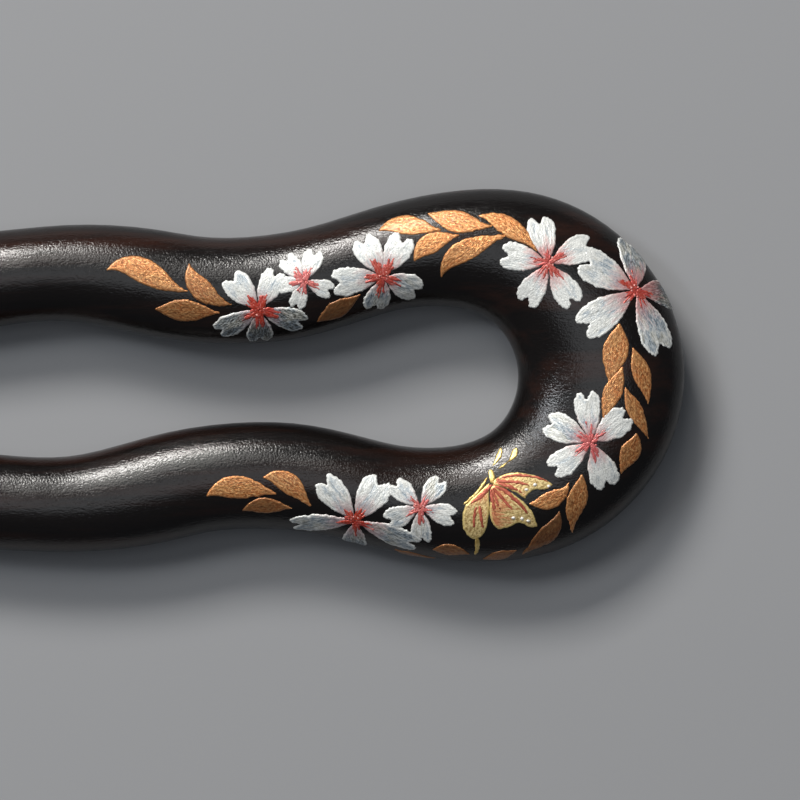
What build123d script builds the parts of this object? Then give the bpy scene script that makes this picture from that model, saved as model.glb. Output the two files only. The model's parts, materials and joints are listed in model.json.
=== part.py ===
"""Two-prong decorative hair fork: one carved ebony body with hand-painted motifs on its upper side.

Frame, in millimetres: +X runs along the fork towards the closed head, +Z is up and out of the painted
side, and the fork lies on its back on z = 0. The origin is the bottom centre of the overall box.

The wood is one solid. Every brush mark is a thin film of raised paint that lies on it, as a solid of
its own: white petals, red stamens, copper leaves and a gold and red butterfly.
"""

from build123d import *
import math
import os

# --- Driving dimensions of the wooden body ---------------------------------------------------------
LENGTH = 150.0            # overall, crown to prong tips
TIP_RADIUS = 1.8          # the prongs end in half spheres
SECTIONS = 76             # cross-sections lofted from a prong's tip to the crown
SECTION_CROWDING = 0.85   # 0 spaces them evenly, 1 crowds them most towards the tip

# One half of the centreline, from the crown to a prong's tip: x, y, half width and half thickness of
# the elliptical section there. The other half mirrors it. The first wave narrows the gap to a neck
# behind the round head; a second, shallower one leads into the straight taper.
HALF_FORK = [
    (66.5, 0.0, 8.5, 4.5),
    (63.6, 7.85, 7.95, 4.5),
    (58.5, 11.7, 7.0, 4.45),
    (53.2, 12.9, 6.1, 4.4),
    (48.6, 12.8, 5.6, 4.35),
    (44.7, 12.15, 5.35, 4.3),
    (41.0, 11.15, 5.3, 4.3),
    (36.9, 10.1, 5.4, 4.25),
    (33.0, 9.55, 5.45, 4.2),
    (29.0, 9.45, 5.4, 4.2),
    (24.8, 9.8, 5.4, 4.15),
    (20.5, 10.65, 5.4, 4.1),
    (16.1, 11.45, 5.15, 4.05),
    (12.1, 11.8, 4.9, 4.0),
    (8.4, 11.7, 4.8, 4.0),
    (4.8, 11.4, 4.85, 3.95),
    (0.0, 10.85, 4.85, 3.9),
    (-5.0, 10.5, 4.75, 3.8),
    (-11.0, 10.4, 4.6, 3.7),
    (-20.0, 10.5, 4.25, 3.5),
    (-32.0, 10.6, 3.75, 3.15),
    (-45.0, 10.55, 3.2, 2.75),
    (-58.0, 10.4, 2.6, 2.35),
    (-68.0, 10.3, 2.05, 2.0),
    (TIP_RADIUS - LENGTH / 2, 10.25, TIP_RADIUS, TIP_RADIUS),
]

# --- Driving dimensions of the paint ---------------------------------------------------------------
PAINT = 0.10              # thickness of one coat of raised paint
WALK_STEP = 0.3           # step of a walk over the curved surface

# A blossom: its centre as seen from above, the size of its red heart, and its petals. A petal is a
# heading in degrees from +X as seen from above, a length and a width along the wood's surface.
BLOSSOMS = {
    "blossom_neck_large": ((31.85, 7.4), 1.0, [
        (131, 4.6, 2.9), (62, 4.5, 2.6), (-21, 5.1, 2.6), (-90, 4.4, 2.7), (209, 5.1, 2.6)]),
    "blossom_neck_small": ((36.6, 10.1), 0.75, [
        (127, 3.4, 2.1), (70, 3.5, 2.2), (-23, 3.1, 1.9), (250, 3.0, 1.8), (188, 3.0, 1.8)]),
    "blossom_shoulder": ((44.65, 10.4), 1.05, [
        (120, 4.7, 2.9), (60, 4.7, 2.9), (-28, 4.2, 3.1), (255, 4.1, 2.7), (187, 5.4, 3.0)]),
    "blossom_head_top": ((61.45, 11.1), 1.1, [
        (99, 5.1, 2.9), (25, 5.2, 3.0), (-59, 5.0, 2.8), (236, 4.9, 2.8), (166, 5.1, 2.9)]),
    "blossom_crown_large": ((70.15, 8.05), 1.2, [
        (145, 6.5, 3.7), (85, 6.4, 3.6), (0, 6.2, 3.2), (-64, 7.0, 3.6), (214, 7.0, 3.6)]),
    "blossom_crown_low": ((65.2, -7.2), 1.1, [
        (94, 5.3, 2.7), (35, 4.8, 3.0), (-70, 5.1, 3.1), (214, 5.1, 2.8), (153, 5.3, 2.9)]),
    "blossom_prong_small": ((47.6, -13.2), 0.8, [
        (136, 3.8, 2.2), (51, 3.7, 2.2), (-19, 3.8, 2.2), (-90, 4.0, 2.2), (203, 3.9, 2.3)]),
    "blossom_prong_large": ((41.0, -14.35), 1.1, [
        (130, 5.6, 2.9), (54, 5.2, 3.3), (-25, 7.0, 2.6), (262, 4.8, 2.6), (184, 6.9, 2.4)]),
}

# A spray of leaves: each leaf is its midrib's points as seen from above and its width on the surface.
LEAF_SPRAYS = {
    "leaves_prong_top": [
        ([(16.5, 11.9), (18.7, 12.3), (21.0, 11.3), (22.9, 10.1), (24.7, 9.5)], 2.6),
        ([(24.9, 12.3), (25.2, 10.8), (26.2, 9.5), (27.5, 8.5), (29.1, 8.0)], 2.2),
        ([(21.3, 7.8), (24.4, 7.5), (27.8, 7.2)], 2.4),
    ],
    "leaf_neck": [
        ([(37.7, 6.0), (39.0, 6.7), (40.6, 7.6), (42.2, 8.6)], 2.1),
    ],
    "leaves_shoulder": [
        ([(44.3, 15.0), (46.2, 15.6), (48.3, 15.35), (50.6, 14.9)], 2.2),
        ([(49.3, 16.6), (51.3, 16.0), (53.4, 15.45), (55.8, 15.1)], 2.4),
        ([(54.5, 16.2), (56.2, 15.8), (57.8, 14.8), (59.2, 13.7), (60.3, 12.4)], 2.1),
        ([(47.8, 11.8), (48.8, 13.1), (50.4, 13.9), (52.4, 14.3)], 2.1),
        ([(50.5, 10.1), (51.6, 11.9), (53.4, 12.9), (55.2, 13.6), (57.2, 14.1)], 2.2),
    ],
    "leaves_crown": [
        ([(68.4, 4.8), (68.2, 3.2), (67.7, 1.1), (67.1, -1.2)], 2.7),
        ([(69.7, 2.3), (70.3, 0.4), (70.8, -1.4), (71.1, -3.5)], 1.9),
        ([(68.6, 0.4), (67.9, -1.3), (67.1, -3.1), (66.4, -5.2)], 1.9),
        ([(68.8, -1.7), (69.5, -3.6), (70.4, -5.5), (71.0, -7.0)], 1.6),
        ([(69.8, -6.4), (69.4, -7.8), (68.7, -9.1), (68.1, -10.5)], 2.2),
    ],
    "leaves_head_low": [
        ([(58.7, -13.2), (60.2, -13.1), (61.7, -12.5), (62.8, -11.1)], 1.8),
        ([(64.1, -10.4), (63.8, -12.2), (63.2, -14.2), (63.0, -16.3)], 2.1),
        ([(61.7, -14.1), (61.0, -15.8), (59.5, -17.2), (57.8, -18.4)], 2.0),
    ],
    "leaves_prong_low": [
        ([(25.9, -11.4), (27.4, -10.7), (29.3, -10.6), (31.1, -10.9), (33.0, -11.4)], 2.4),
        ([(31.7, -9.7), (33.3, -9.8), (34.6, -10.6), (35.6, -11.7), (36.5, -12.8)], 2.1),
        ([(29.5, -13.0), (30.9, -12.6), (32.3, -12.6), (34.6, -12.9)], 1.8),
    ],
    "leaves_outer_edge": [
        ([(48.7, -17.6), (50.5, -17.7), (52.5, -18.2)], 1.7),
        ([(53.8, -18.7), (55.5, -18.45), (57.3, -17.9)], 1.6),
        ([(44.8, -17.5), (46.8, -18.1), (49.0, -18.6)], 1.5),
    ],
}

# The butterfly. A wing is its leading edge, its outer margin and its trailing edge, seen from above.
WINGS = [
    ([(55.0, -10.85), (56.1, -10.2), (57.3, -10.0), (58.8, -10.2), (60.1, -10.7), (61.1, -11.3)],
     [(61.1, -11.3), (60.3, -11.8), (59.3, -11.8), (58.6, -12.2), (58.3, -12.7)],
     [(55.1, -11.2), (56.2, -11.5), (57.3, -12.0), (58.3, -12.7)]),
    ([(55.1, -11.1), (56.8, -12.0), (58.3, -13.2), (59.1, -14.4), (59.4, -15.5)],
     [(59.4, -15.5), (58.3, -15.45), (57.5, -15.1), (56.8, -15.4), (56.1, -15.6), (55.5, -15.7)],
     [(54.75, -11.5), (54.7, -13.0), (54.7, -14.6), (55.5, -15.7)]),
    ([(54.7, -10.95), (53.9, -11.6), (53.0, -12.4), (52.2, -13.1)],
     [(52.2, -13.1), (51.9, -14.0), (51.8, -15.0), (52.1, -15.9), (52.9, -16.6)],
     [(54.66, -11.55), (54.6, -13.0), (54.5, -14.4), (54.2, -15.6), (53.65, -16.4), (52.9, -16.6)]),
]
WING_EDGE = ([(54.5, -10.4), (53.9, -11.3), (53.3, -12.0), (52.5, -12.7), (52.0, -13.1)], 0.35)
TAIL = ([(53.2, -16.4), (53.3, -17.3), (53.0, -18.2)], 0.5)
BODY = ([(54.8, -9.6), (54.95, -10.2), (54.9, -11.1)], 0.65)
ANTENNAE = [
    ([(55.0, -9.3), (55.6, -8.5), (56.0, -7.4)], 0.6),
    ([(55.6, -9.6), (56.2, -9.2), (56.6, -8.9)], 0.25),
    ([(56.6, -8.9), (57.2, -8.3), (57.5, -7.4)], 0.65),
]
WING_VEINS = [
    ([(55.4, -10.75), (56.8, -10.3), (58.0, -10.3), (59.4, -10.5), (60.7, -11.1)], 0.34),
    ([(55.4, -10.8), (56.8, -10.9), (58.0, -11.1), (58.7, -11.35)], 0.36),
    ([(55.3, -10.95), (56.4, -11.3), (57.2, -11.6), (58.0, -12.1)], 0.36),
    ([(54.9, -11.2), (56.0, -11.7), (57.0, -12.5), (57.9, -13.4), (58.5, -14.3)], 0.45),
    ([(55.0, -11.4), (55.8, -12.4), (56.4, -13.1), (57.0, -13.8)], 0.36),
    ([(54.8, -11.6), (55.0, -13.1), (55.2, -14.3)], 0.36),
    ([(54.9, -11.5), (55.4, -12.9), (55.8, -14.0)], 0.3),
    ([(54.9, -11.1), (54.4, -11.7), (53.6, -12.4), (52.7, -13.0)], 0.42),
    ([(53.3, -13.3), (53.05, -14.4), (53.0, -15.4)], 0.34),
    ([(53.6, -13.2), (53.75, -14.4), (53.9, -15.5)], 0.38),
]
WING_DOTS = [(59.3, -11.3), (58.4, -11.75), (60.7, -11.45), (57.0, -14.6), (58.5, -14.9), (57.9, -14.7)]
WING_DOT = 0.4            # diameter of a white dot on a wing


# --- Smooth curves through the stations ------------------------------------------------------------
def natural_spline(knots, values):
    """The natural cubic spline through values at knots, as a function."""
    last = len(knots) - 1
    gaps = [knots[i + 1] - knots[i] for i in range(last)]
    slopes = [(values[i + 1] - values[i]) / gaps[i] for i in range(last)]
    ratio, moment = [0.0] * (last + 1), [0.0] * (last + 1)
    for i in range(1, last):
        pivot = 2 * (gaps[i - 1] + gaps[i]) - gaps[i - 1] * ratio[i - 1]
        ratio[i] = gaps[i] / pivot
        moment[i] = (6 * (slopes[i] - slopes[i - 1]) - gaps[i - 1] * moment[i - 1]) / pivot
    for i in range(last - 1, 0, -1):
        moment[i] -= ratio[i] * moment[i + 1]

    def value(at):
        low, high = 0, last
        while high - low > 1:
            middle = (low + high) // 2
            low, high = (middle, high) if knots[middle] <= at else (low, middle)
        before, after, gap = at - knots[low], knots[low + 1] - at, gaps[low]
        bend = (moment[low] * after**3 + moment[low + 1] * before**3) / (6 * gap)
        left = (values[low] / gap - moment[low] * gap / 6) * after
        right = (values[low + 1] / gap - moment[low + 1] * gap / 6) * before
        return bend + left + right

    return value


class ForkSurface:
    """The wood's surface. A spot on it is (along, around): the distance along the centreline from the
    -Y prong's tip, and the angle round the section, 0 at the top and positive towards the outside."""

    NUDGE = 1e-3

    def __init__(self, half):
        mirrored = [(x, -y, width, height) for x, y, width, height in reversed(half[1:])]
        stations = mirrored + half
        knots = [0.0]
        for one, two in zip(stations, stations[1:]):
            knots.append(knots[-1] + math.dist(one[:2], two[:2]))
        self.length = knots[-1]
        self.x, self.y, self.width, self.height = (
            natural_spline(knots, list(column)) for column in zip(*stations)
        )

    def centre(self, along):
        return Vector(self.x(along), self.y(along), self.height(along))

    def tangent(self, along):
        """The centreline's direction as seen from above."""
        step = self.NUDGE
        forward = self.centre(along + step) - self.centre(along - step)
        return Vector(forward.X, forward.Y, 0).normalized()

    def outward(self, along):
        return self.tangent(along).cross(Vector(0, 0, 1))

    def point(self, along, around):
        side = self.outward(along) * (self.width(along) * math.sin(around))
        return self.centre(along) + side + Vector(0, 0, self.height(along) * math.cos(around))

    def slopes(self, along, around):
        """How the surface point moves with along and with around."""
        step = self.NUDGE
        one = (self.point(along + step, around) - self.point(along - step, around)) / (2 * step)
        two = (self.point(along, around + step) - self.point(along, around - step)) / (2 * step)
        return one, two

    def normal(self, along, around):
        one, two = self.slopes(along, around)
        return two.cross(one).normalized()

    def above(self, spot, height):
        """The point at that height over the surface."""
        return self.point(*spot) + self.normal(*spot) * height

    def spot(self, x, y):
        """The spot on the upper side that is seen at (x, y) from above."""
        coarse = [self.length * i / 200 for i in range(2, 199)]
        along = min(coarse, key=lambda s: math.dist((self.x(s), self.y(s)), (x, y)))
        seen = Vector(x, y, 0)
        for _ in range(6):
            centre = self.centre(along)
            off = seen - Vector(centre.X, centre.Y, 0)
            along += 0.8 * off.dot(self.tangent(along))
        share = off.dot(self.outward(along)) / self.width(along)
        return along, math.asin(max(-0.995, min(0.995, share)))

    def lifted(self, spot, degrees):
        """The direction along the surface that is seen at that angle from above."""
        normal = self.normal(*spot)
        flat = Vector(math.cos(math.radians(degrees)), math.sin(math.radians(degrees)), 0)
        return Vector(flat.X, flat.Y, -flat.dot(normal) / normal.Z).normalized()

    def walk(self, spot, direction, distance):
        """Goes straight over the surface, and returns the new spot and the direction there."""
        if distance < 0:
            spot, back = self.walk(spot, -direction, -distance)
            return spot, -back
        steps = max(1, math.ceil(distance / WALK_STEP))
        along, around = spot
        for _ in range(steps):
            stride = direction * (distance / steps)
            one, two = self.slopes(along, around)
            e, f, g = one.dot(one), one.dot(two), two.dot(two)
            p, q = stride.dot(one), stride.dot(two)
            along += (g * p - f * q) / (e * g - f * f)
            around += (e * q - f * p) / (e * g - f * f)
            normal = self.normal(along, around)
            direction = (direction - normal * direction.dot(normal)).normalized()
        return (along, around), direction

    def sidestep(self, spot, direction, distance):
        """Goes sideways, to the left of direction where distance is positive."""
        return self.walk(spot, self.normal(*spot).cross(direction), distance)[0]


FORK = ForkSurface(HALF_FORK)


# --- The wood --------------------------------------------------------------------------------------
def spread(count, low=0.0, high=1.0):
    """Evenly spaced values from low to high."""
    return [low + (high - low) * i / (count - 1) for i in range(count)]


def fork_body():
    """The carved body: one prong and half the head are lofted, capped at the tip and then mirrored."""
    sections = []
    for place in spread(SECTIONS):
        closer = SECTION_CROWDING * math.sin(math.pi * place) / math.pi
        along = FORK.length / 2 * (place - closer)
        plane = Plane(origin=FORK.centre(along), x_dir=FORK.outward(along), z_dir=FORK.tangent(along))
        size = (FORK.width(along), FORK.height(along), plane)
        sections.append(Wire([Edge.make_ellipse(*size, 0, 180), Edge.make_ellipse(*size, 180, 360)]))
    tip = Plane(origin=FORK.centre(0.0), z_dir=-FORK.tangent(0.0))
    half = Solid.make_loft(sections).fuse(Solid.make_sphere(TIP_RADIUS, tip, 0, 90, 360))
    return half.fuse(half.mirror(Plane.XZ))


# --- Films of paint --------------------------------------------------------------------------------
def film(rows, coats_below=0):
    """A coat of paint over rows of spots, on top of the coats already there."""
    faces = []
    for coats in (coats_below, coats_below + 1):
        wires = [Wire(Edge.make_spline([FORK.above(spot, coats * PAINT) for spot in row])) for row in rows]
        faces.append(Shell.make_loft(wires).faces()[0])
    for low, high in zip(faces[0].edges(), faces[1].edges()):
        faces.append(Face.make_surface_from_curves(low, high))
    return Solid(Shell(faces))


def petal(centre, degrees, length, width):
    """A cherry petal: it widens fast from its foot to two round lobes with a notch between them."""
    foot, notch = 0.07 * length, 0.2 * length
    start = FORK.spot(*centre)
    heading = FORK.lifted(start, degrees)
    rows = []
    for out in spread(8):
        row = []
        half = width / 2 * (0.08 + 0.92 * math.sin(math.pi / 2 * out**0.9))
        for turn in spread(11, -math.pi / 2, math.pi / 2):
            across = math.sin(turn)
            tip = length * (0.74 + 0.3 * math.cos(turn)) - notch * math.exp(-((across / 0.3) ** 2))
            spot, ahead = FORK.walk(start, heading, foot + (tip - foot) * out)
            row.append(FORK.sidestep(spot, ahead, -across * half))
        rows.append(row)
    return film(rows)


def blade(points, width, fullest=0.45, blunt=0.06, coats_below=0, pinch=1.35):
    """A pointed brush mark along a midrib: a leaf, or a slim stroke. It is widest at fullest."""
    rib = Spline(*points)
    power = math.log(0.5) / math.log(fullest)
    rows = []
    for along in spread(9):
        place, way = rib @ along, rib % along
        spot = FORK.spot(place.X, place.Y)
        heading = FORK.lifted(spot, math.degrees(math.atan2(way.Y, way.X)))
        swell = blunt + (1 - blunt) * math.sin(math.pi * along**power) ** pinch
        rows.append([FORK.sidestep(spot, heading, -side * swell * width / 2) for side in spread(5, -1, 1)])
    return film(rows, coats_below)


def stroke(centre, degrees, start, end, width):
    """A slim tapered stroke that runs straight out from a blossom's centre, over the petals."""
    middle = FORK.spot(*centre)
    heading = FORK.lifted(middle, degrees)
    rows = []
    for out in spread(6):
        spot, ahead = FORK.walk(middle, heading, start + (end - start) * out)
        half = width / 2 * (1 - 0.75 * out**1.5)
        rows.append([FORK.sidestep(spot, ahead, -side * half) for side in spread(3, -1, 1)])
    return film(rows, 1)


def dot(centre, size, coats_below=1):
    """A small round dab of paint."""
    x, y = centre
    reach = size / 2
    return blade([(x - reach, y), (x, y), (x + reach, y)], size, 0.5, 0.35, coats_below)


def blossom_heart(centre, size, petals):
    """The red heart: a dab in the middle, with a long stroke up each petal and a short one between."""
    strokes = [dot(centre, 0.55 * size)]
    headings = sorted(degrees % 360 for degrees, _, _ in petals)
    for i, degrees in enumerate(headings):
        gap = (headings[(i + 1) % len(headings)] - degrees) % 360
        strokes.append(stroke(centre, degrees, 0.4 * size, 1.8 * size, 0.5 * size))
        strokes.append(stroke(centre, degrees + gap / 2, 0.45 * size, 0.9 * size, 0.28 * size))
    return strokes


def wing(leading, margin, trailing):
    """A patch of paint from a wing's root, between its two edges, to its outer margin."""
    front, outer, back = Spline(*leading), Spline(*margin), Spline(*trailing)
    rows = []
    for out in spread(9):
        row = []
        for across in spread(9):
            straight = (front @ out) * (1 - across) + (back @ out) * across
            bulge = outer @ across - (front @ 1) * (1 - across) - (back @ 1) * across
            place = straight + bulge * out**2
            row.append(FORK.spot(place.X, place.Y))
        rows.append(row)
    return film(rows)


# --- Every sub-part, by its node's name ------------------------------------------------------------
def all_parts():
    parts = {"fork_body": fork_body()}
    for name, (centre, size, petals) in BLOSSOMS.items():
        parts[name + "_petals"] = [petal(centre, *shape) for shape in petals]
        parts[name + "_stamens"] = blossom_heart(centre, size, petals)
    for name, leaves in LEAF_SPRAYS.items():
        parts[name] = [blade(points, width) for points, width in leaves]
    parts["butterfly_wings"] = [wing(*edges) for edges in WINGS]
    parts["butterfly_body"] = [blade(*line, blunt=0.3, pinch=0.6) for line in (BODY, WING_EDGE, TAIL)]
    parts["butterfly_antennae"] = [blade(*line, fullest=0.6, pinch=0.9) for line in ANTENNAE]
    parts["butterfly_wing_veins"] = [blade(*line, coats_below=1, pinch=0.5) for line in WING_VEINS]
    parts["butterfly_wing_dots"] = [dot(place, WING_DOT) for place in WING_DOTS]
    return parts


def main():
    os.makedirs("parts", exist_ok=True)
    for name, shape in all_parts().items():
        solid = shape if isinstance(shape, Solid) else Compound(children=list(shape))
        export_step(solid, f"parts/{name}.step")


main()
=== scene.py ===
"""Looks of the hand-painted ebony hair fork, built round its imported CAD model.

The wood keeps its CAD shape and gets an ebony material. Each film of CAD paint is rebuilt as a finely
meshed brush mark with the same outline: uneven edges, ridges left by the bristles, and a thick rim.
"""

import json
import math
import random
from collections import namedtuple

import bpy
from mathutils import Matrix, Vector, noise
from mathutils.bvhtree import BVHTree
from mathutils.geometry import barycentric_transform, delaunay_2d_cdt, tessellate_polygon
from mathutils.kdtree import KDTree


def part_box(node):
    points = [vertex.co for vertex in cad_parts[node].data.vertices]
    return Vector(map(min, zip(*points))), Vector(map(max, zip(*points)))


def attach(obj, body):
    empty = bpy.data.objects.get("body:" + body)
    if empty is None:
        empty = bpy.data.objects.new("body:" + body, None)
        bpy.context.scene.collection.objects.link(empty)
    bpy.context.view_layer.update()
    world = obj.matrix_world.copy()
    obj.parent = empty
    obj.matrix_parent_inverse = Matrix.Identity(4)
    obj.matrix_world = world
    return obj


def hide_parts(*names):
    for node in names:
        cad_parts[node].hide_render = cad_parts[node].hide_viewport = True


MM = 0.001                # a millimetre in metres

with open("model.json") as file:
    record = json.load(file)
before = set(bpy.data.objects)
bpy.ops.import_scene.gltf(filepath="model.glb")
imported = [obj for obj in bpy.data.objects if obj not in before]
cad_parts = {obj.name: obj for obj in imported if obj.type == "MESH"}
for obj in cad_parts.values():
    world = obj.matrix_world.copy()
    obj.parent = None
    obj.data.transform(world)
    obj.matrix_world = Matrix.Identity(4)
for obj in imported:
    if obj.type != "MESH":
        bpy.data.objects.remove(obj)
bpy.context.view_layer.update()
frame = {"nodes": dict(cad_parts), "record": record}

# --- Sizes, in millimetres -------------------------------------------------------------------------
COAT = 0.10               # thickness of one CAD film of paint
OUTLINE_STEP = 0.09       # spacing of points round a brush mark
GRID_STEP = 0.105         # spacing of points inside it
CLEAR = 0.6 * GRID_STEP   # least distance between the outline and a point inside it
RIM_IN = 0.12             # how far inside the outline a film's thick rim runs
SUNK = 0.03               # how far a brush mark's underside is sunk into the wood
REACH = 8.0               # rays towards the wood start this far above it

# How a kind of brush mark is built: the function that gives its height, how high it starts above the
# wood, and how far its outline strays, both in millimetres.
Style = namedtuple("Style", "height base ragged")


# --- The wood's surface, which every brush mark lies on --------------------------------------------
class Wood:
    """The CAD wood in millimetres: where a ray meets it, and its smooth normal there."""

    def __init__(self, node):
        mesh = node.data
        self.points, self.faces = welded(mesh)
        self.tree = BVHTree.FromPolygons(self.points, self.faces)
        self.normals = [Vector() for _ in self.points]
        for face in self.faces:
            a, b, c = (self.points[i] for i in face)
            area = (b - a).cross(c - a)
            for i in face:
                self.normals[i] += area
        for normal in self.normals:
            normal.normalize()

    def smooth_normal(self, place, index):
        """The normal at a place on one triangle, blended from those at its corners."""
        face = self.faces[index]
        corners = [self.points[i] for i in face]
        return barycentric_transform(place, *corners, *(self.normals[i] for i in face)).normalized()

    def under(self, start, way):
        """Where the ray from start meets the wood, and the wood's normal there.

        A ray that misses gives the place on the wood that is nearest to its start.
        """
        place, _, index, _ = self.tree.ray_cast(start, way)
        if place is None:
            place, _, index, _ = self.tree.find_nearest(start)
        return place, self.smooth_normal(place, index)

    def nearest(self, point):
        """The place on the wood that is nearest to a point, and the wood's normal there."""
        place, _, index, _ = self.tree.find_nearest(point)
        return place, self.smooth_normal(place, index)


def welded(mesh):
    """A mesh's points in millimetres with doubles merged, and its triangles over them."""
    seen, points, number = {}, [], []
    for vertex in mesh.vertices:
        key = tuple(round(c / MM, 4) for c in vertex.co)
        if key not in seen:
            seen[key] = len(points)
            points.append(Vector(vertex.co) / MM)
        number.append(seen[key])
    mesh.calc_loop_triangles()
    faces = [tuple(number[i] for i in triangle.vertices) for triangle in mesh.loop_triangles]
    return points, [face for face in faces if len(set(face)) == 3]


def separate_solids(points, faces):
    """The triangles of each solid in a node."""
    parent = list(range(len(points)))

    def find(i):
        while parent[i] != i:
            parent[i] = parent[parent[i]]
            i = parent[i]
        return i

    for a, b, c in faces:
        parent[find(a)] = find(b)
        parent[find(b)] = find(c)
    groups = {}
    for face in faces:
        groups.setdefault(find(face[0]), []).append(face)
    return list(groups.values())


def border(faces):
    """The loops of points round a patch of triangles."""
    ways = {(a, b) for face in faces for a, b in zip(face, face[1:] + face[:1])}
    follow = {}
    for a, b in sorted(ways):
        if (b, a) not in ways:
            follow.setdefault(a, []).append(b)
    loops = []
    while follow:
        start = min(follow)
        loop, here = [start], follow[start].pop()
        while here != start and follow.get(here):
            loop.append(here)
            here = follow[here].pop()
        loops.append(loop)
        follow = {point: ends for point, ends in follow.items() if ends}
    return loops


def upper_outline(wood, points, faces):
    """The loop of points round a film's upper face."""
    heights = {}
    for i in {i for face in faces for i in face}:
        foot, normal = wood.nearest(points[i])
        heights[i] = (points[i] - foot).dot(normal)
    middle = (min(heights.values()) + max(heights.values())) / 2
    upper = [face for face in faces if min(heights[i] for i in face) > middle]
    loops = [[points[i] for i in loop] for loop in border(upper)]
    return max(loops, key=lambda loop: sum((a - b).length for a, b in zip(loop, loop[1:] + loop[:1])))


def resampled(loop, step):
    """A closed 2-D loop with its points evenly spaced."""
    lengths = [(loop[(i + 1) % len(loop)] - loop[i]).length for i in range(len(loop))]
    total = sum(lengths)
    count = max(12, round(total / step))
    result, i, passed = [], 0, 0.0
    for k in range(count):
        target = total * k / count
        while passed + lengths[i] < target:
            passed += lengths[i]
            i += 1
        share = (target - passed) / lengths[i] if lengths[i] else 0.0
        result.append(loop[i].lerp(loop[(i + 1) % len(loop)], share))
    return result


def inside(point, loop):
    """Whether a 2-D point lies inside a closed loop."""
    x, y = point
    odd = False
    for i in range(len(loop)):
        a, b = loop[i - 1], loop[i]
        if (a.y > y) != (b.y > y) and x < a.x + (b.x - a.x) * (y - a.y) / (b.y - a.y):
            odd = not odd
    return odd


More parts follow.
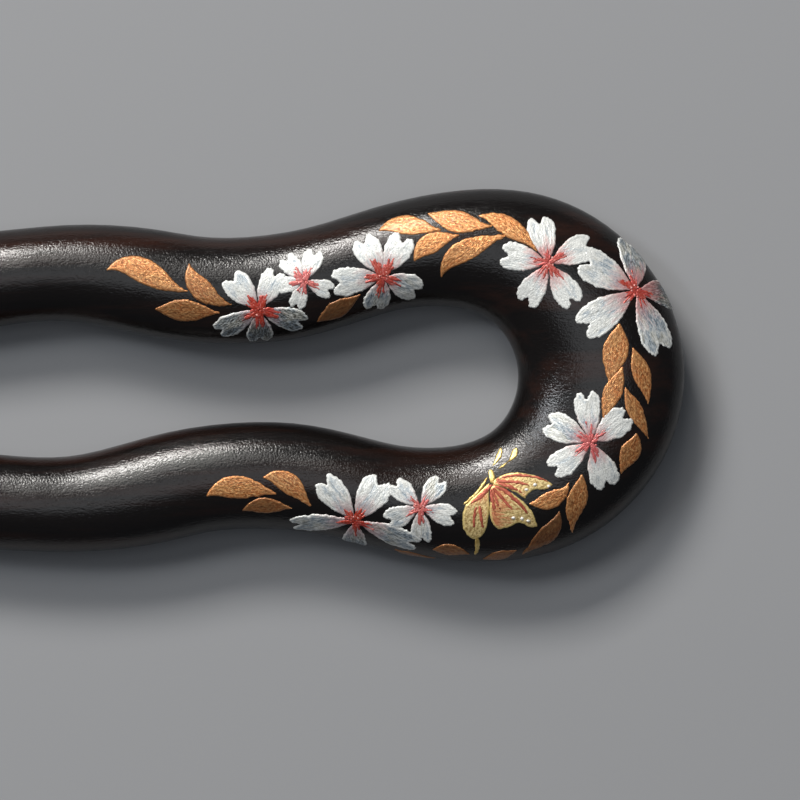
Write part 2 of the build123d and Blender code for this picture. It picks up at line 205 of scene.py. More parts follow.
# --- Brush marks -----------------------------------------------------------------------------------
class BrushMark:
    """One film of paint, rebuilt in a flat chart: u runs along the mark and v across it."""

    def __init__(self, wood, outline, root, seed):
        feet = [wood.nearest(point) for point in outline]
        self.wood, self.seed = wood, seed
        self.middle = sum((place for place, _ in feet), Vector()) / len(feet)
        self.up = sum((normal for _, normal in feet), Vector()).normalized()
        if root is None:
            along = self.longest_way([place for place, _ in feet])
        else:
            along = self.middle - root
        self.u_axis = (along - self.up * along.dot(self.up)).normalized()
        self.v_axis = self.up.cross(self.u_axis)
        self.loop = resampled([self.chart(place) for place, _ in feet], OUTLINE_STEP)

    @staticmethod
    def longest_way(places):
        """The way between the two of every third place that are farthest apart."""
        picks = list(enumerate(places[::3]))
        _, one, two = max(((a - b).length, i, j) for i, a in picks for j, b in picks)
        return picks[one][1] - picks[two][1]

    def chart(self, place):
        """A place's u and v."""
        offset = place - self.middle
        return Vector((offset.dot(self.u_axis), offset.dot(self.v_axis)))

    def surface(self, flat):
        """The wood under a chart point, and its normal."""
        start = self.middle + self.u_axis * flat.x + self.v_axis * flat.y + self.up * REACH
        return self.wood.under(start, -self.up)

    def ragged(self, amount):
        """Moves the outline in and out a little, and more towards the mark's far end."""
        result = []
        count = len(self.loop)
        low, high = min(p.x for p in self.loop), max(p.x for p in self.loop)
        for i, point in enumerate(self.loop):
            way = self.loop[(i + 1) % count] - self.loop[i - 1]
            out = Vector((way.y, -way.x)).normalized()
            share = (point.x - low) / (high - low)
            wobble = ridges(point, 1.3, 1.3, self.seed)
            wobble += 0.8 * ridges(point, 3.6, 4.6, self.seed + 7.0)
            result.append(point + out * wobble * amount * (0.5 + share))
        self.loop = result

    def rim_tree(self):
        """A tree that finds how far a chart point is from the outline."""
        tree = KDTree(len(self.loop))
        for i, p in enumerate(self.loop):
            tree.insert((p.x, p.y, 0.0), i)
        tree.balance()
        return tree

    def grid(self, tree):
        """Chart points inside the outline, in rows that are offset by half a step."""
        us, vs = [p.x for p in self.loop], [p.y for p in self.loop]
        low_u, low_v = min(us), min(vs)
        rows = int((max(vs) - low_v) / GRID_STEP) + 2
        columns = int((max(us) - low_u) / GRID_STEP) + 2
        result = []
        for row in range(rows):
            shift = GRID_STEP / 2 * (row % 2)
            for column in range(columns):
                p = Vector((low_u + column * GRID_STEP + shift, low_v + row * GRID_STEP))
                if tree.find((p.x, p.y, 0.0))[2] > CLEAR and inside(p, self.loop):
                    result.append(p)
        return result

    def build(self, style, parts, fade=0.0, tint=0.0):
        """Adds the mark's points, faces and brush coordinates to parts.

        Fade and tint are numbers from 0 to 1 that the mark's material reads, each in its own way.
        """
        self.ragged(style.ragged)
        tree = self.rim_tree()
        count = len(self.loop)
        rim = [(i, (i + 1) % count) for i in range(count)]
        flat, _, triangles, _, _, _ = delaunay_2d_cdt(self.loop + self.grid(tree), rim, [], 1, 1e-6)
        low, high = min(p.x for p in self.loop), max(p.x for p in self.loop)
        base = len(parts["points"])
        for p in flat:
            place, normal = self.surface(p)
            edge = tree.find((p.x, p.y, 0.0))[2]
            share = (p.x - low) / (high - low)
            height = style.height(p, share, edge, self.seed)
            parts["points"].append(place + normal * (style.base + height))
            parts["edge"].append(edge)
            parts["share"].append(share)
            parts["brush"].append((p.x - low, p.y + self.seed * 3.7))
        upper = []
        for a, b, c in triangles:
            turn = (flat[b] - flat[a]).cross(flat[c] - flat[a])
            upper.append((base + a, base + b, base + c) if turn > 0 else (base + a, base + c, base + b))
        parts["faces"] += upper
        self.close(base, flat, upper, parts, style.base - SUNK)
        added = len(parts["points"]) - len(parts["fade"])
        parts["fade"] += [fade] * added
        parts["tint"] += [tint] * added

    def close(self, base, flat, upper, parts, depth):
        """Adds the mark's sides and its underside, so that it is a closed solid."""
        for ring in border(upper):
            lower = {}
            for one in ring:
                place, normal = self.surface(flat[one - base])
                lower[one] = len(parts["points"])
                parts["points"].append(place + normal * depth)
                parts["edge"].append(0.0)
                parts["share"].append(parts["share"][one])
                parts["brush"].append(parts["brush"][one])
            for one, two in zip(ring, ring[1:] + ring[:1]):
                parts["faces"].append((two, one, lower[one]))
                parts["faces"].append((two, lower[one], lower[two]))
            corners = [flat[one - base].to_3d() for one in ring]
            for a, b, c in tessellate_polygon([corners]):
                turn = (corners[b] - corners[a]).cross(corners[c] - corners[a]).z
                picks = [lower[ring[i]] for i in (a, b, c)]
                parts["faces"].append(tuple(picks[::-1]) if turn > 0 else tuple(picks))


def ridges(p, along, across, seed):
    """Smooth noise with so many ridges to a millimetre along a mark and across it."""
    return noise.noise(Vector((p.x * along, p.y * across, seed)))


def risen(edge, width):
    """How far a film has risen towards its full height at this distance from its outline."""
    return 1.0 - math.exp(-edge / width)


def wall(edge, width):
    """A low wall of paint that runs along the outline, just inside it."""
    return math.exp(-((edge - RIM_IN) / width) ** 2)


def petal_height(p, share, edge, seed):
    """A thin wash with a thick rim, combed by bristles that spread towards the petal's far end."""
    fan = 0.45 + share
    combed = ridges(p, 0.6, 5.5 / fan, seed)
    coarse = ridges(p, 0.8, 2.4 / fan, seed + 3.0)
    lumps = 0.015 * wall(edge, 0.1) + 0.022 * combed + 0.025 * coarse
    return COAT * (0.35 + 0.4 * risen(edge, 0.07)) + lumps * risen(edge, 0.07)


def leaf_height(p, share, edge, seed):
    """A fuller film with a slight rim."""
    lumps = 0.02 * wall(edge, 0.09) + 0.02 * ridges(p, 2.5, 6.0, seed)
    return COAT * (0.3 + 0.5 * risen(edge, 0.1)) + lumps * risen(edge, 0.1)


def stroke_height(p, share, edge, seed):
    """A stroke of a fine brush: thick where it starts and thin where it lifts off."""
    full = 0.45 * (1.2 - share) * COAT
    return COAT * 0.2 + (full + 0.04 * ridges(p, 2.0, 9.0, seed)) * risen(edge, 0.07)


def drop_height(p, share, edge, seed):
    """A small round drop that stands up higher than the strokes."""
    return COAT * 1.5 * risen(edge, 0.09)


def mesh_object(name, parts, material):
    """A mesh object from points in millimetres, with its brush coordinates as a UV map.

    Its attributes are edge, the distance in millimetres from the mark's outline; share, which runs from
    0 at the mark's root to 1 at its far end; and the mark's fade and tint.
    """
    mesh = bpy.data.meshes.new(name)
    mesh.from_pydata([p * MM for p in parts["points"]], [], parts["faces"])
    for word in ("edge", "share", "fade", "tint"):
        layer = mesh.attributes.new(word, "FLOAT", "POINT")
        layer.data.foreach_set("value", parts[word])
    brush = mesh.uv_layers.new(name="Brush")
    for loop in mesh.loops:
        brush.data[loop.index].uv = parts["brush"][loop.vertex_index]
    mesh.polygons.foreach_set("use_smooth", [True] * len(mesh.polygons))
    mesh.validate()
    mesh.update()
    thing = bpy.data.objects.new(name, mesh)
    bpy.context.scene.collection.objects.link(thing)
    mesh.materials.append(material)
    return thing


# --- Materials -------------------------------------------------------------------------------------
# Colours are linear. Coordinates are metres on the wood, and millimetres along and across a brush mark.
MIX_ONE, MIX_TWO, MIX_RESULT = 6, 7, 2   # the Mix node's sockets for colours


class Nodes:
    """Short calls for building one material's node tree."""

    def __init__(self, name):
        self.material = bpy.data.materials.new(name)
        self.material.use_nodes = True
        self.tree = self.material.node_tree
        self.shader = self.tree.nodes["Principled BSDF"]

    def add(self, kind, **settings):
        """A new node with these settings."""
        node = self.tree.nodes.new(kind)
        for key, value in settings.items():
            setattr(node, key, value)
        return node

    def link(self, source, target):
        """Joins an output to an input."""
        self.tree.links.new(source, target)

    def put(self, target, value):
        """Links a socket, or sets a plain value."""
        if isinstance(value, bpy.types.NodeSocket):
            self.link(value, target)
        else:
            target.default_value = value

    def attribute(self, name):
        """A number that the mesh holds at each point."""
        return self.add("ShaderNodeAttribute", attribute_name=name).outputs["Fac"]

    def noise(self, coordinates, stretch, detail, roughness):
        """Noise, mostly from 0.3 to 0.7, over coordinates that are scaled by stretch."""
        mapping = self.add("ShaderNodeMapping")
        self.link(coordinates, mapping.inputs["Vector"])
        mapping.inputs["Scale"].default_value = stretch
        node = self.add("ShaderNodeTexNoise")
        self.link(mapping.outputs["Vector"], node.inputs["Vector"])
        node.inputs["Scale"].default_value = 1.0
        node.inputs["Detail"].default_value = detail
        node.inputs["Roughness"].default_value = roughness
        return node.outputs["Fac"]

    def grain(self, along, across, detail, roughness):
        """Noise in the wood, with so many grains to a metre along X and across it."""
        place = self.add("ShaderNodeTexCoord").outputs["Object"]
        return self.noise(place, (along, across, across), detail, roughness)

    def streaks(self, along, across, detail, roughness):
        """Noise in a brush mark, with so many streaks to a millimetre along the mark and across it."""
        brush = self.add("ShaderNodeUVMap", uv_map="Brush").outputs["UV"]
        return self.noise(brush, (along, across, 1.0), detail, roughness)

    def ramp(self, value, low, high, start=0.0, end=1.0):
        """Runs from start to end while value runs from low to high, and stays there beyond."""
        node = self.add("ShaderNodeMapRange")
        self.link(value, node.inputs["Value"])
        node.inputs["From Min"].default_value = low
        node.inputs["From Max"].default_value = high
        node.inputs["To Min"].default_value = start
        node.inputs["To Max"].default_value = end
        return node.outputs["Result"]

    def math(self, operation, one, two):
        """A sum, difference or product of two values."""
        node = self.add("ShaderNodeMath", operation=operation)
        self.put(node.inputs[0], one)
        self.put(node.inputs[1], two)
        return node.outputs["Value"]

    def blend(self, share, one, two):
        """Colour one where share is 0, and colour two where it is 1."""
        node = self.add("ShaderNodeMix", data_type="RGBA")
        self.put(node.inputs["Factor"], share)
        for number, colour in ((MIX_ONE, one), (MIX_TWO, two)):
            opaque = colour if isinstance(colour, bpy.types.NodeSocket) else (*colour, 1.0)
            self.put(node.inputs[number], opaque)
        return node.outputs[MIX_RESULT]

    def bump(self, height, strength, distance, before=None):
        """A normal bent by a height of so many metres, on top of the normal before it."""
        node = self.add("ShaderNodeBump")
        self.link(height, node.inputs["Height"])
        node.inputs["Strength"].default_value = strength
        node.inputs["Distance"].default_value = distance
        if before is not None:
            self.link(before, node.inputs["Normal"])
        return node.outputs["Normal"]


def ebony():
    """Near-black ebony: faint brown streaks and fine open pores along X, rubbed to a satin polish."""
    black, brown, pore = (0.0050, 0.0040, 0.0038), (0.022, 0.0085, 0.0055), (0.0025, 0.002, 0.0018)
    n = Nodes("ebony")
    streaks = n.grain(16.0, 300.0, 4.0, 0.6)
    fine = n.grain(220.0, 2200.0, 4.0, 0.65)
    pores = n.grain(1600.0, 5200.0, 1.0, 0.6)
    specks = n.grain(5200.0, 5200.0, 1.0, 0.6)
    colour = n.blend(n.ramp(streaks, 0.48, 0.75), black, brown)
    colour = n.blend(n.ramp(fine, 0.45, 0.75, 0.0, 0.6), colour, pore)
    n.put(n.shader.inputs["Base Color"], colour)
    n.put(n.shader.inputs["Roughness"], n.ramp(n.math("ADD", fine, pores), 0.75, 1.25, 0.13, 0.26))
    n.shader.inputs["Specular IOR Level"].default_value = 0.42
    normal = n.bump(fine, 0.2, 0.00004)
    normal = n.bump(pores, 0.5, 0.00003, normal)
    n.put(n.shader.inputs["Normal"], n.bump(specks, 1.0, 0.000028, normal))
    return n.material


def petal_paint():
    """Pearl-white paint: opaque along the bristle strokes and the rim, and a grey wash between them.

    Fade runs from an opaque petal at 0 to a nearly bare one at 1; a thin petal is darker, which also
    stands as painted shade on petals turned away from the light. Tint is how strongly the petal
    blushes at its root.
    """
    bare, white, fleck = (0.030, 0.031, 0.028), (0.73, 0.74, 0.71), (0.37, 0.39, 0.385)
    cool_wash, warm_wash = (0.25, 0.315, 0.375), (0.325, 0.32, 0.27)
    shadow, red = (0.14, 0.17, 0.21), (0.60, 0.15, 0.12)
    n = Nodes("petal_paint")
    share, edge, fade = (n.attribute(word) for word in ("share", "edge", "fade"))
    combed = n.streaks(0.7, 3.0, 4.0, 0.65)
    bristles = n.streaks(2.2, 11.0, 2.0, 0.6)
    grit = n.streaks(4.6, 6.4, 2.0, 0.6)
    washes = n.streaks(0.45, 0.9, 2.0, 0.5)

    # How much paint lies at a point: below 0 hardly any, and above 1 more than enough to hide the wood.
    rim = n.ramp(n.math("ADD", edge, n.ramp(washes, 0.3, 0.7, -0.1, 0.1)), 0.10, 0.26, 0.9, 0.0)
    body = n.math("ADD", n.ramp(combed, 0.34, 0.66, -0.1, 0.6), n.ramp(bristles, 0.35, 0.65, -0.15, 0.15))
    body = n.math("ADD", body, n.ramp(washes, 0.35, 0.65, 0.4, 0.8))
    body = n.math("SUBTRACT", n.math("ADD", body, rim), n.ramp(fade, 0.0, 1.0, 0.0, 1.4))
    body = n.math("ADD", body, n.math("MULTIPLY", fade, n.ramp(bristles, 0.4, 0.62, -0.5, 0.8)))

    wash = n.blend(n.ramp(washes, 0.44, 0.58), cool_wash, warm_wash)
    colour = n.blend(n.ramp(body, -0.5, 0.3), bare, wash)
    colour = n.blend(n.ramp(body, 0.15, 0.9), colour, white)
    colour = n.blend(n.ramp(grit, 0.38, 0.52, 0.5, 0.0), colour, fleck)
    root = n.math("ADD", share, n.ramp(combed, 0.3, 0.7, 0.15, -0.15))
    colour = n.blend(n.ramp(root, 0.1, 0.42, 0.6, 0.0), colour, shadow)
    blush = n.math("ADD", share, n.ramp(combed, 0.3, 0.7, 0.2, -0.2))
    blush = n.math("MULTIPLY", n.ramp(blush, 0.15, 0.5, 0.9, 0.0), n.attribute("tint"))
    n.put(n.shader.inputs["Base Color"], n.blend(blush, colour, red))
    n.shader.inputs["Metallic"].default_value = 0.22
    n.put(n.shader.inputs["Roughness"], n.ramp(grit, 0.3, 0.7, 0.5, 0.3))
    normal = n.bump(combed, 0.5, 0.00008)
    normal = n.bump(bristles, 0.4, 0.00004, normal)
    n.put(n.shader.inputs["Normal"], n.bump(grit, 0.8, 0.00007, normal))
    return n.material


def leaf_paint():
    """Copper-gold paint full of metal flakes, with a smooth rim. Fade darkens the whole leaf, partly as
    darker paint and partly as painted shade.
    """
    copper, gold, brown = (0.54, 0.175, 0.045), (0.60, 0.27, 0.090), (0.19, 0.068, 0.022)
    bright_flake, dark_flake = (0.98, 0.58, 0.25), (0.14, 0.048, 0.014)
    rim, shaded = (0.66, 0.28, 0.10), (0.085, 0.030, 0.012)
    n = Nodes("leaf_paint")
    combed = n.streaks(1.2, 4.5, 4.0, 0.6)
    flakes = n.streaks(3.2, 6.0, 4.0, 0.75)
    cloud = n.streaks(0.5, 0.9, 2.0, 0.5)
    colour = n.blend(n.ramp(cloud, 0.35, 0.65), copper, gold)
    colour = n.blend(n.ramp(combed, 0.38, 0.58, 0.7, 0.0), colour, brown)
    colour = n.blend(n.ramp(flakes, 0.50, 0.60, 0.0, 0.75), colour, bright_flake)
    colour = n.blend(n.ramp(flakes, 0.37, 0.49, 0.65, 0.0), colour, dark_flake)
    colour = n.blend(n.ramp(n.attribute("edge"), 0.08, 0.22, 0.5, 0.0), colour, rim)
    n.put(n.shader.inputs["Base Color"], n.blend(n.attribute("fade"), colour, shaded))
    n.shader.inputs["Metallic"].default_value = 0.55
    n.shader.inputs["Specular IOR Level"].default_value = 0.25
    n.shader.inputs["Coat Weight"].default_value = 0.45
    n.shader.inputs["Coat Roughness"].default_value = 0.28
    n.put(n.shader.inputs["Roughness"], n.ramp(flakes, 0.3, 0.7, 0.38, 0.22))
    n.put(n.shader.inputs["Normal"], n.bump(flakes, 0.9, 0.00008, n.bump(combed, 0.35, 0.00004)))
    return n.material


def stamen_paint():
    """Red paint that thins where a stroke lifts off.

    Tint runs from orange-red at 0 to crimson at 1. Fade makes a stroke or a drop paler; on a drop the
    paleness is a painted glint.
    """
    orange_red, crimson, deep_red = (0.42, 0.036, 0.015), (0.47, 0.044, 0.054), (0.22, 0.020, 0.012)
    fleck, lifted, pale = (0.88, 0.42, 0.36), (0.70, 0.28, 0.25), (0.85, 0.55, 0.50)
    n = Nodes("stamen_paint")
    flakes = n.streaks(4.5, 6.5, 3.0, 0.7)
    combed = n.streaks(1.5, 7.0, 3.0, 0.6)
    colour = n.blend(n.attribute("tint"), orange_red, crimson)
    colour = n.blend(n.ramp(combed, 0.35, 0.6, 0.5, 0.0), colour, deep_red)
    # Pale flecks: the paint's flakes, lightened as painted glints.
    colour = n.blend(n.ramp(flakes, 0.56, 0.62, 0.0, 0.5), colour, fleck)
    lifting = n.math("ADD", n.attribute("share"), n.ramp(combed, 0.35, 0.65, -0.25, 0.25))
    colour = n.blend(n.ramp(lifting, 0.75, 1.15, 0.0, 0.4), colour, lifted)
    n.put(n.shader.inputs["Base Color"], n.blend(n.attribute("fade"), colour, pale))
    n.shader.inputs["Metallic"].default_value = 0.25
    n.put(n.shader.inputs["Roughness"], n.ramp(flakes, 0.3, 0.7, 0.42, 0.26))
    n.put(n.shader.inputs["Normal"], n.bump(flakes, 0.5, 0.00005, n.bump(combed, 0.4, 0.00004)))
    return n.material


def wing_paint():
    """Yellow-gold paint with a bright rim, stained orange-red in streaks from the wing's root."""
    dark_gold, light_gold = (0.36, 0.23, 0.075), (0.88, 0.69, 0.33)
    stained, rim = (0.58, 0.15, 0.07), (0.80, 0.62, 0.24)
    n = Nodes("wing_paint")
    combed = n.streaks(0.8, 5.0, 4.0, 0.65)
    flakes = n.streaks(3.2, 4.4, 4.0, 0.75)
    colour = n.blend(n.ramp(flakes, 0.43, 0.56), dark_gold, light_gold)
    stain = n.math("ADD", n.ramp(combed, 0.38, 0.62), n.ramp(n.attribute("share"), 0.1, 0.8, 0.45, -0.9))
    colour = n.blend(n.ramp(stain, 0.2, 0.9, 0.0, 0.75), colour, stained)
    colour = n.blend(n.ramp(n.attribute("edge"), 0.12, 0.26, 0.85, 0.0), colour, rim)
    n.put(n.shader.inputs["Base Color"], colour)
    n.shader.inputs["Metallic"].default_value = 0.5
    n.put(n.shader.inputs["Roughness"], n.ramp(flakes, 0.3, 0.7, 0.48, 0.32))
    n.put(n.shader.inputs["Normal"], n.bump(flakes, 0.5, 0.00006, n.bump(combed, 0.5, 0.00006)))
    return n.material


def flaked_paint(name, dark, light, metallic, roughness):
    """A metallic paint that varies from dark to light, with flakes."""
    n = Nodes(name)
    flakes = n.streaks(8.0, 10.0, 2.0, 0.7)
    cloud = n.streaks(1.2, 2.4, 3.0, 0.5)
    colour = n.blend(n.ramp(n.math("ADD", flakes, cloud), 0.8, 1.2), dark, light)
    n.put(n.shader.inputs["Base Color"], colour)
    n.shader.inputs["Metallic"].default_value = metallic
    n.shader.inputs["Roughness"].default_value = roughness
    n.put(n.shader.inputs["Normal"], n.bump(flakes, 0.5, 0.00005))
    return n.material


def plain(name, colour, roughness):
    """A material of one colour."""
    n = Nodes(name)
    n.shader.inputs["Base Color"].default_value = (*colour, 1.0)
    n.shader.inputs["Roughness"].default_value = roughness
    return n.material


# --- Painting --------------------------------------------------------------------------------------
WOOD = Wood(frame["nodes"]["fork_body"])

PETALS = Style(petal_height, 0.0, 0.11)
LEAVES = Style(leaf_height, 0.0, 0.07)
WINGS = Style(leaf_height, 0.0, 0.06)
STROKES = Style(stroke_height, 0.6 * COAT, 0.1)
DROPS = Style(drop_height, 0.8 * COAT, 0.08)

MATERIALS = {
    "petal_paint": petal_paint(),
    "leaf_paint": leaf_paint(),
    "stamen_paint": stamen_paint(),
    "wing_paint": wing_paint(),
    "gold_paint": flaked_paint("gold_paint", (0.46, 0.30, 0.08), (0.88, 0.68, 0.28), 0.6, 0.36),
    "vein_paint": flaked_paint("vein_paint", (0.28, 0.05, 0.025), (0.57, 0.15, 0.09), 0.3, 0.4),
    "dot_paint": flaked_paint("dot_paint", (0.62, 0.60, 0.55), (0.88, 0.86, 0.8), 0.2, 0.38),
}
STYLES = {
    "petal_paint": PETALS,
    "leaf_paint": LEAVES,
    "wing_paint": WINGS,
    "gold_paint": LEAVES,
    "vein_paint": STROKES,
    "dot_paint": DROPS,
}

# How thin the wash is on some petals, by the way each points in degrees from X: 0 is opaque white and 1
# nearly bare. The thin, darker petals are partly painted shade, on petals turned away from the light.
THIN_AND_SHADED_PETALS = {
    "blossom_neck_large": [(131, 0.1), (62, 0.05), (-21, 0.7), (-90, 0.9), (209, 0.7)],
    "blossom_neck_small": [(127, 0.1), (70, 0.1)],
    "blossom_shoulder": [(-28, 0.25), (255, 0.35)],
    "blossom_crown_large": [(145, 0.15), (85, 0.5), (0, 0.95), (-64, 0.3), (214, 0.1)],
    "blossom_crown_low": [(153, 0.28), (94, 0.15)],
    "blossom_prong_small": [(136, 0.15), (51, 0.42), (-19, 0.1), (-90, 0.25), (203, 0.2)],
    "blossom_prong_large": [(130, 0.15), (54, 0.05), (-25, 0.45), (262, 0.55), (184, 0.4)],
}
SAME_WAY = 20.0           # a petal is the one that THIN_AND_SHADED_PETALS means if it points within this many degrees

# Each blossom's heart: how long and wide its red strokes are, their tone from orange-red at 0 to crimson
# at 1, how pale they are, and how strongly the petals blush round them.
Heart = namedtuple("Heart", "length width tone pale blush")
HEARTS = {
    "blossom_neck_large": Heart(2.0, 0.50, 0.1, 0.0, 0.25),
    "blossom_neck_small": Heart(1.65, 0.31, 0.7, 0.14, 0.2),
    "blossom_shoulder": Heart(2.2, 0.42, 0.1, 0.04, 0.35),
    "blossom_head_top": Heart(2.2, 0.28, 0.35, 0.06, 0.65),
    "blossom_crown_large": Heart(2.3, 0.32, 0.25, 0.03, 0.5),
    "blossom_crown_low": Heart(2.2, 0.28, 1.0, 0.1, 0.4),
    "blossom_prong_small": Heart(1.6, 0.32, 0.6, 0.12, 0.25),
    "blossom_prong_large": Heart(2.0, 0.33, 0.15, 0.0, 0.3),
}

# The strokes over each petal: how far each turns from the petal's middle in degrees, and the least and
# most of the heart's length that it reaches.
STROKES_OF_A_PETAL = [(-17.0, 0.45, 0.8), (-5.0, 0.75, 1.1), (8.0, 0.75, 1.1), (19.0, 0.45, 0.8)]
STROKE_START = 0.05       # how far from the heart's middle a stroke starts
STROKE_POINTS = 8         # points along each side of a stroke
DROPS_OF_A_HEART = 10
DROP_TURN = 2.4           # radians from one drop to the next, so that they spread evenly
DROP_SPREAD = 0.65        # how far from the heart's middle a drop may lie

# Leaves that are darker, partly in their paint and partly as painted shade on leaves turned away from the
# light, by the place of each one's middle: 0 is bright copper and 1 deep brown.
DARK_AND_SHADED_LEAVES = [
    ((21.0, 10.5), 0.15), ((24.4, 7.5), 0.35), ((39.8, 7.0), 0.6), ((26.5, 9.3), 0.3),
    ((32.0, -12.7), 0.5), ((34.4, -10.4), 0.1), ((60.4, -16.2), 0.7), ((63.4, -13.4), 0.15),
    ((68.9, -8.5), 0.2), ((50.5, -17.8), 0.6), ((55.5, -18.4), 0.6), ((46.8, -18.1), 0.6),
]
SAME_LEAF = 1.2           # a leaf is the one that DARK_AND_SHADED_LEAVES means if its middle is this close


def centre_of(node):
    """The middle of a node's box, in millimetres."""
    low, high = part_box(node)
    return (Vector(low) + Vector(high)) / 2 / MM


def middle_of(outline):
    """The mean of an outline's points."""
    return sum(outline, Vector()) / len(outline)


def heading_of(root, outline):
    """The way from root to an outline's middle, in degrees from X."""
    away = middle_of(outline) - root
    return math.degrees(math.atan2(away.y, away.x))


def gap(one, two):
    """The angle between two headings."""
    return abs((one - two + 180.0) % 360.0 - 180.0)


def thinness_and_shade(blossom, heading):
    """How thin the wash is on the petal that points this way; the thinning is partly painted shade."""
    close = [thin for way, thin in THIN_AND_SHADED_PETALS.get(blossom, []) if gap(way, heading) < SAME_WAY]
    return close[0] if close else 0.0


def darkness_and_shade(outline):
    """How dark the leaf with this outline is, partly darker paint and partly painted shade."""
    middle = middle_of(outline).to_2d()
    close = [dark for place, dark in DARK_AND_SHADED_LEAVES if (middle - Vector(place)).length < SAME_LEAF]
    return close[0] if close else 0.0


def stroke_outline(root, heading, start, length, width):
    """Points on the wood round a tapered brush stroke that runs from start to length away from root."""
    _, up = WOOD.nearest(root)
    along = Vector((math.cos(math.radians(heading)), math.sin(math.radians(heading)), 0.0))
    along = (along - up * along.dot(up)).normalized()
    across = up.cross(along)
    last = STROKE_POINTS - 1
    outline = []
    for side in (-1, 1):
        for k in range(STROKE_POINTS):
            share = k / last if side < 0 else 1 - k / last
            half = width / 2 * min(1.0, 0.6 + 2.0 * share) * (1.0 - 0.6 * share**3)
            outline.append(root + along * (start + (length - start) * share) + across * side * half)
    return [WOOD.under(point + up * 2.0, -up)[0] for point in outline]


def heart(blossom, seed, parts):
    """Paints a blossom's red strokes over its petals, and the drops in the middle."""
    points, faces = welded(frame["nodes"][blossom + "_petals"].data)
    root = centre_of(blossom + "_stamens")
    root = WOOD.under(root + Vector((0.0, 0.0, REACH)), Vector((0.0, 0.0, -1.0)))[0]
    look = HEARTS[blossom]
    dice = random.Random(seed)
    for solid in separate_solids(points, faces):
        heading = heading_of(root, upper_outline(WOOD, points, solid))
        for turn, least, most in STROKES_OF_A_PETAL:
            way = heading + turn + dice.uniform(-4.0, 4.0)
            reach = look.length * dice.uniform(least, most)
            outline = stroke_outline(root, way, STROKE_START, reach, look.width * dice.uniform(0.65, 1.3))
            tone = min(1.0, max(0.0, look.tone + dice.uniform(-0.3, 0.3)))
            BrushMark(WOOD, outline, root, dice.uniform(0.0, 90.0)).build(STROKES, parts, look.pale, tone)
    for k in range(DROPS_OF_A_HEART):
        away = DROP_SPREAD * math.sqrt(dice.random())
        spot = root + away * Vector((math.cos(k * DROP_TURN), math.sin(k * DROP_TURN), 0.0))
        radius = dice.uniform(0.09, 0.15)
        outline = stroke_outline(spot, k * 40.0, -radius, radius, 2.0 * radius)
        # Each drop is made paler by a random amount, as a painted glint.
        pale = dice.uniform(0.0, 0.55)
        BrushMark(WOOD, outline, root, dice.uniform(0.0, 90.0)).build(DROPS, parts, pale, look.tone)


def films(node, slot, seed, parts):
    """Paints every film of a node in its own outline: petals, leaves, or the butterfly's pieces."""
    blossom = node.replace("_petals", "")
    root, blush = None, 0.0
    if blossom in HEARTS:
        root, blush = centre_of(blossom + "_stamens"), HEARTS[blossom].blush
    elif node == "butterfly_wings":
        root = centre_of("butterfly_body")
    points, faces = welded(frame["nodes"][node].data)
    for i, solid in enumerate(separate_solids(points, faces)):
        outline = upper_outline(WOOD, points, solid)
        # For a leaf the fade is its darkness and for a petal its thin wash; both are partly painted
        # shade.
        fade = darkness_and_shade(outline) if root is None else thinness_and_shade(blossom, heading_of(root, outline))
        BrushMark(WOOD, outline, root, seed + i).build(STYLES[slot], parts, fade, blush)


def paint(node, slot, number):
    """Replaces a CAD node of paint by its brush marks."""
    parts = {"points": [], "faces": [], "edge": [], "share": [], "fade": [], "tint": [], "brush": []}
    if node.endswith("_stamens"):
        heart(node.replace("_stamens", ""), number, parts)
    else:
        films(node, slot, number * 13.0, parts)
    thing = mesh_object(node + "_brushed", parts, MATERIALS[slot])
    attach(thing, "root")
    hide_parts(node)


for number, entry in enumerate(frame["record"]["subparts"]):
    if entry["node"] != "fork_body":
        paint(entry["node"], entry["material_slot"], number)

body = frame["nodes"]["fork_body"]
body.data.materials.clear()
body.data.materials.append(ebony())


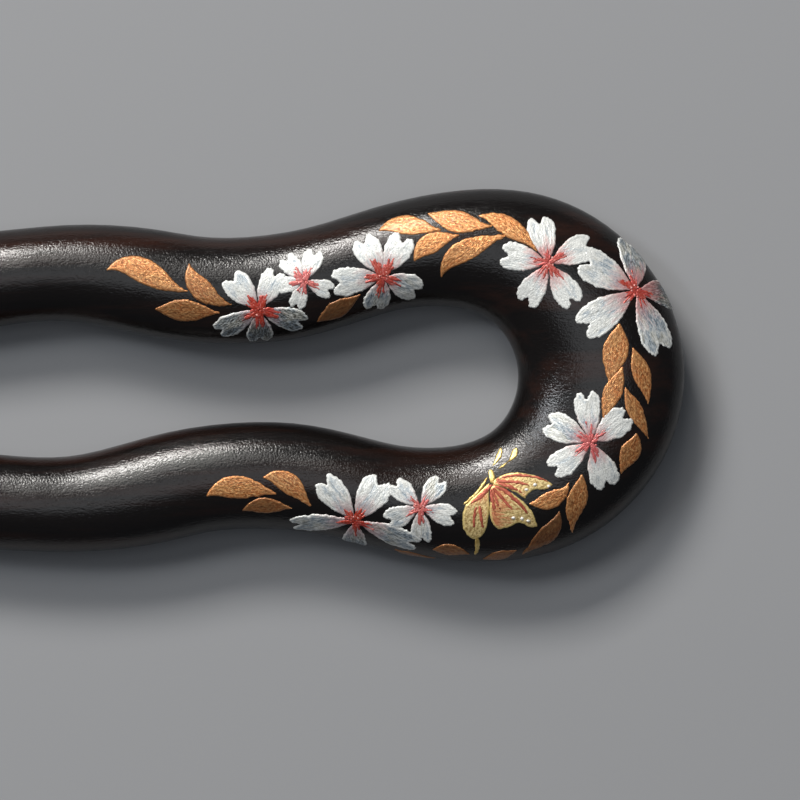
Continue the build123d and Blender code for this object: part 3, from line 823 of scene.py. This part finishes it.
# --- Floor, light and camera, in metres ------------------------------------------------------------
HEAD = Vector((0.045, 0.0, 0.0))  # the middle of the fork's head, which the lights face
WARM = (1.0, 0.97, 0.93)
COOL = (0.92, 0.96, 1.0)


def softbox(name, way, distance, size, power, colour):
    """A rectangular area light that faces the fork's head, with its width and height and its watts."""
    light = bpy.data.lights.new(name, "AREA")
    light.color = colour
    light.shape = "RECTANGLE"
    light.size, light.size_y = size
    light.energy = power
    thing = bpy.data.objects.new(name, light)
    bpy.context.scene.collection.objects.link(thing)
    way = Vector(way).normalized()
    thing.location = HEAD + way * distance
    thing.rotation_euler = way.to_track_quat("Z", "Y").to_euler()


bpy.ops.mesh.primitive_plane_add(size=6.0, location=(0.0, 0.0, 0.0))
floor = bpy.context.object
floor.name = "floor"
floor.data.materials.append(plain("floor", (0.25, 0.255, 0.265), 0.9))

softbox("key", (-0.34, 0.76, 0.63), 0.9, (0.38, 0.20), 9.5, WARM)
softbox("middle", (-0.20, 0.50, 0.84), 1.1, (0.5, 0.3), 2.2, WARM)
softbox("left", (-0.55, 0.32, 0.77), 1.0, (0.16, 0.26), 2.2, COOL)
softbox("overhead", (0.0, 0.0, 1.0), 1.4, (0.9, 0.7), 2.4, COOL)

world = bpy.data.worlds.new("studio")
bpy.context.scene.world = world
world.use_nodes = True
background = world.node_tree.nodes["Background"]
background.inputs["Color"].default_value = (0.75, 0.8, 0.9, 1.0)
background.inputs["Strength"].default_value = 0.1

HEAD_VIEW = (0.04588, -0.00225)   # the point of the fork that the camera looks straight down at
FIELD = 0.08163                   # width of the view across it
CAMERA_HEIGHT = 1.0
LEVEL = 0.0045                    # height of the fork's middle
TURN = math.radians(-1.83)        # how far the view is turned about Z

camera = bpy.data.cameras.new("camera")
camera.lens = camera.sensor_width * CAMERA_HEIGHT / FIELD
camera.clip_start = 0.01
camera_object = bpy.data.objects.new("camera", camera)
bpy.context.scene.collection.objects.link(camera_object)
camera_object.location = (*HEAD_VIEW, LEVEL + CAMERA_HEIGHT)
camera_object.rotation_euler = (0.0, 0.0, TURN)
bpy.context.scene.camera = camera_object
bpy.context.scene.view_settings.view_transform = "Standard"
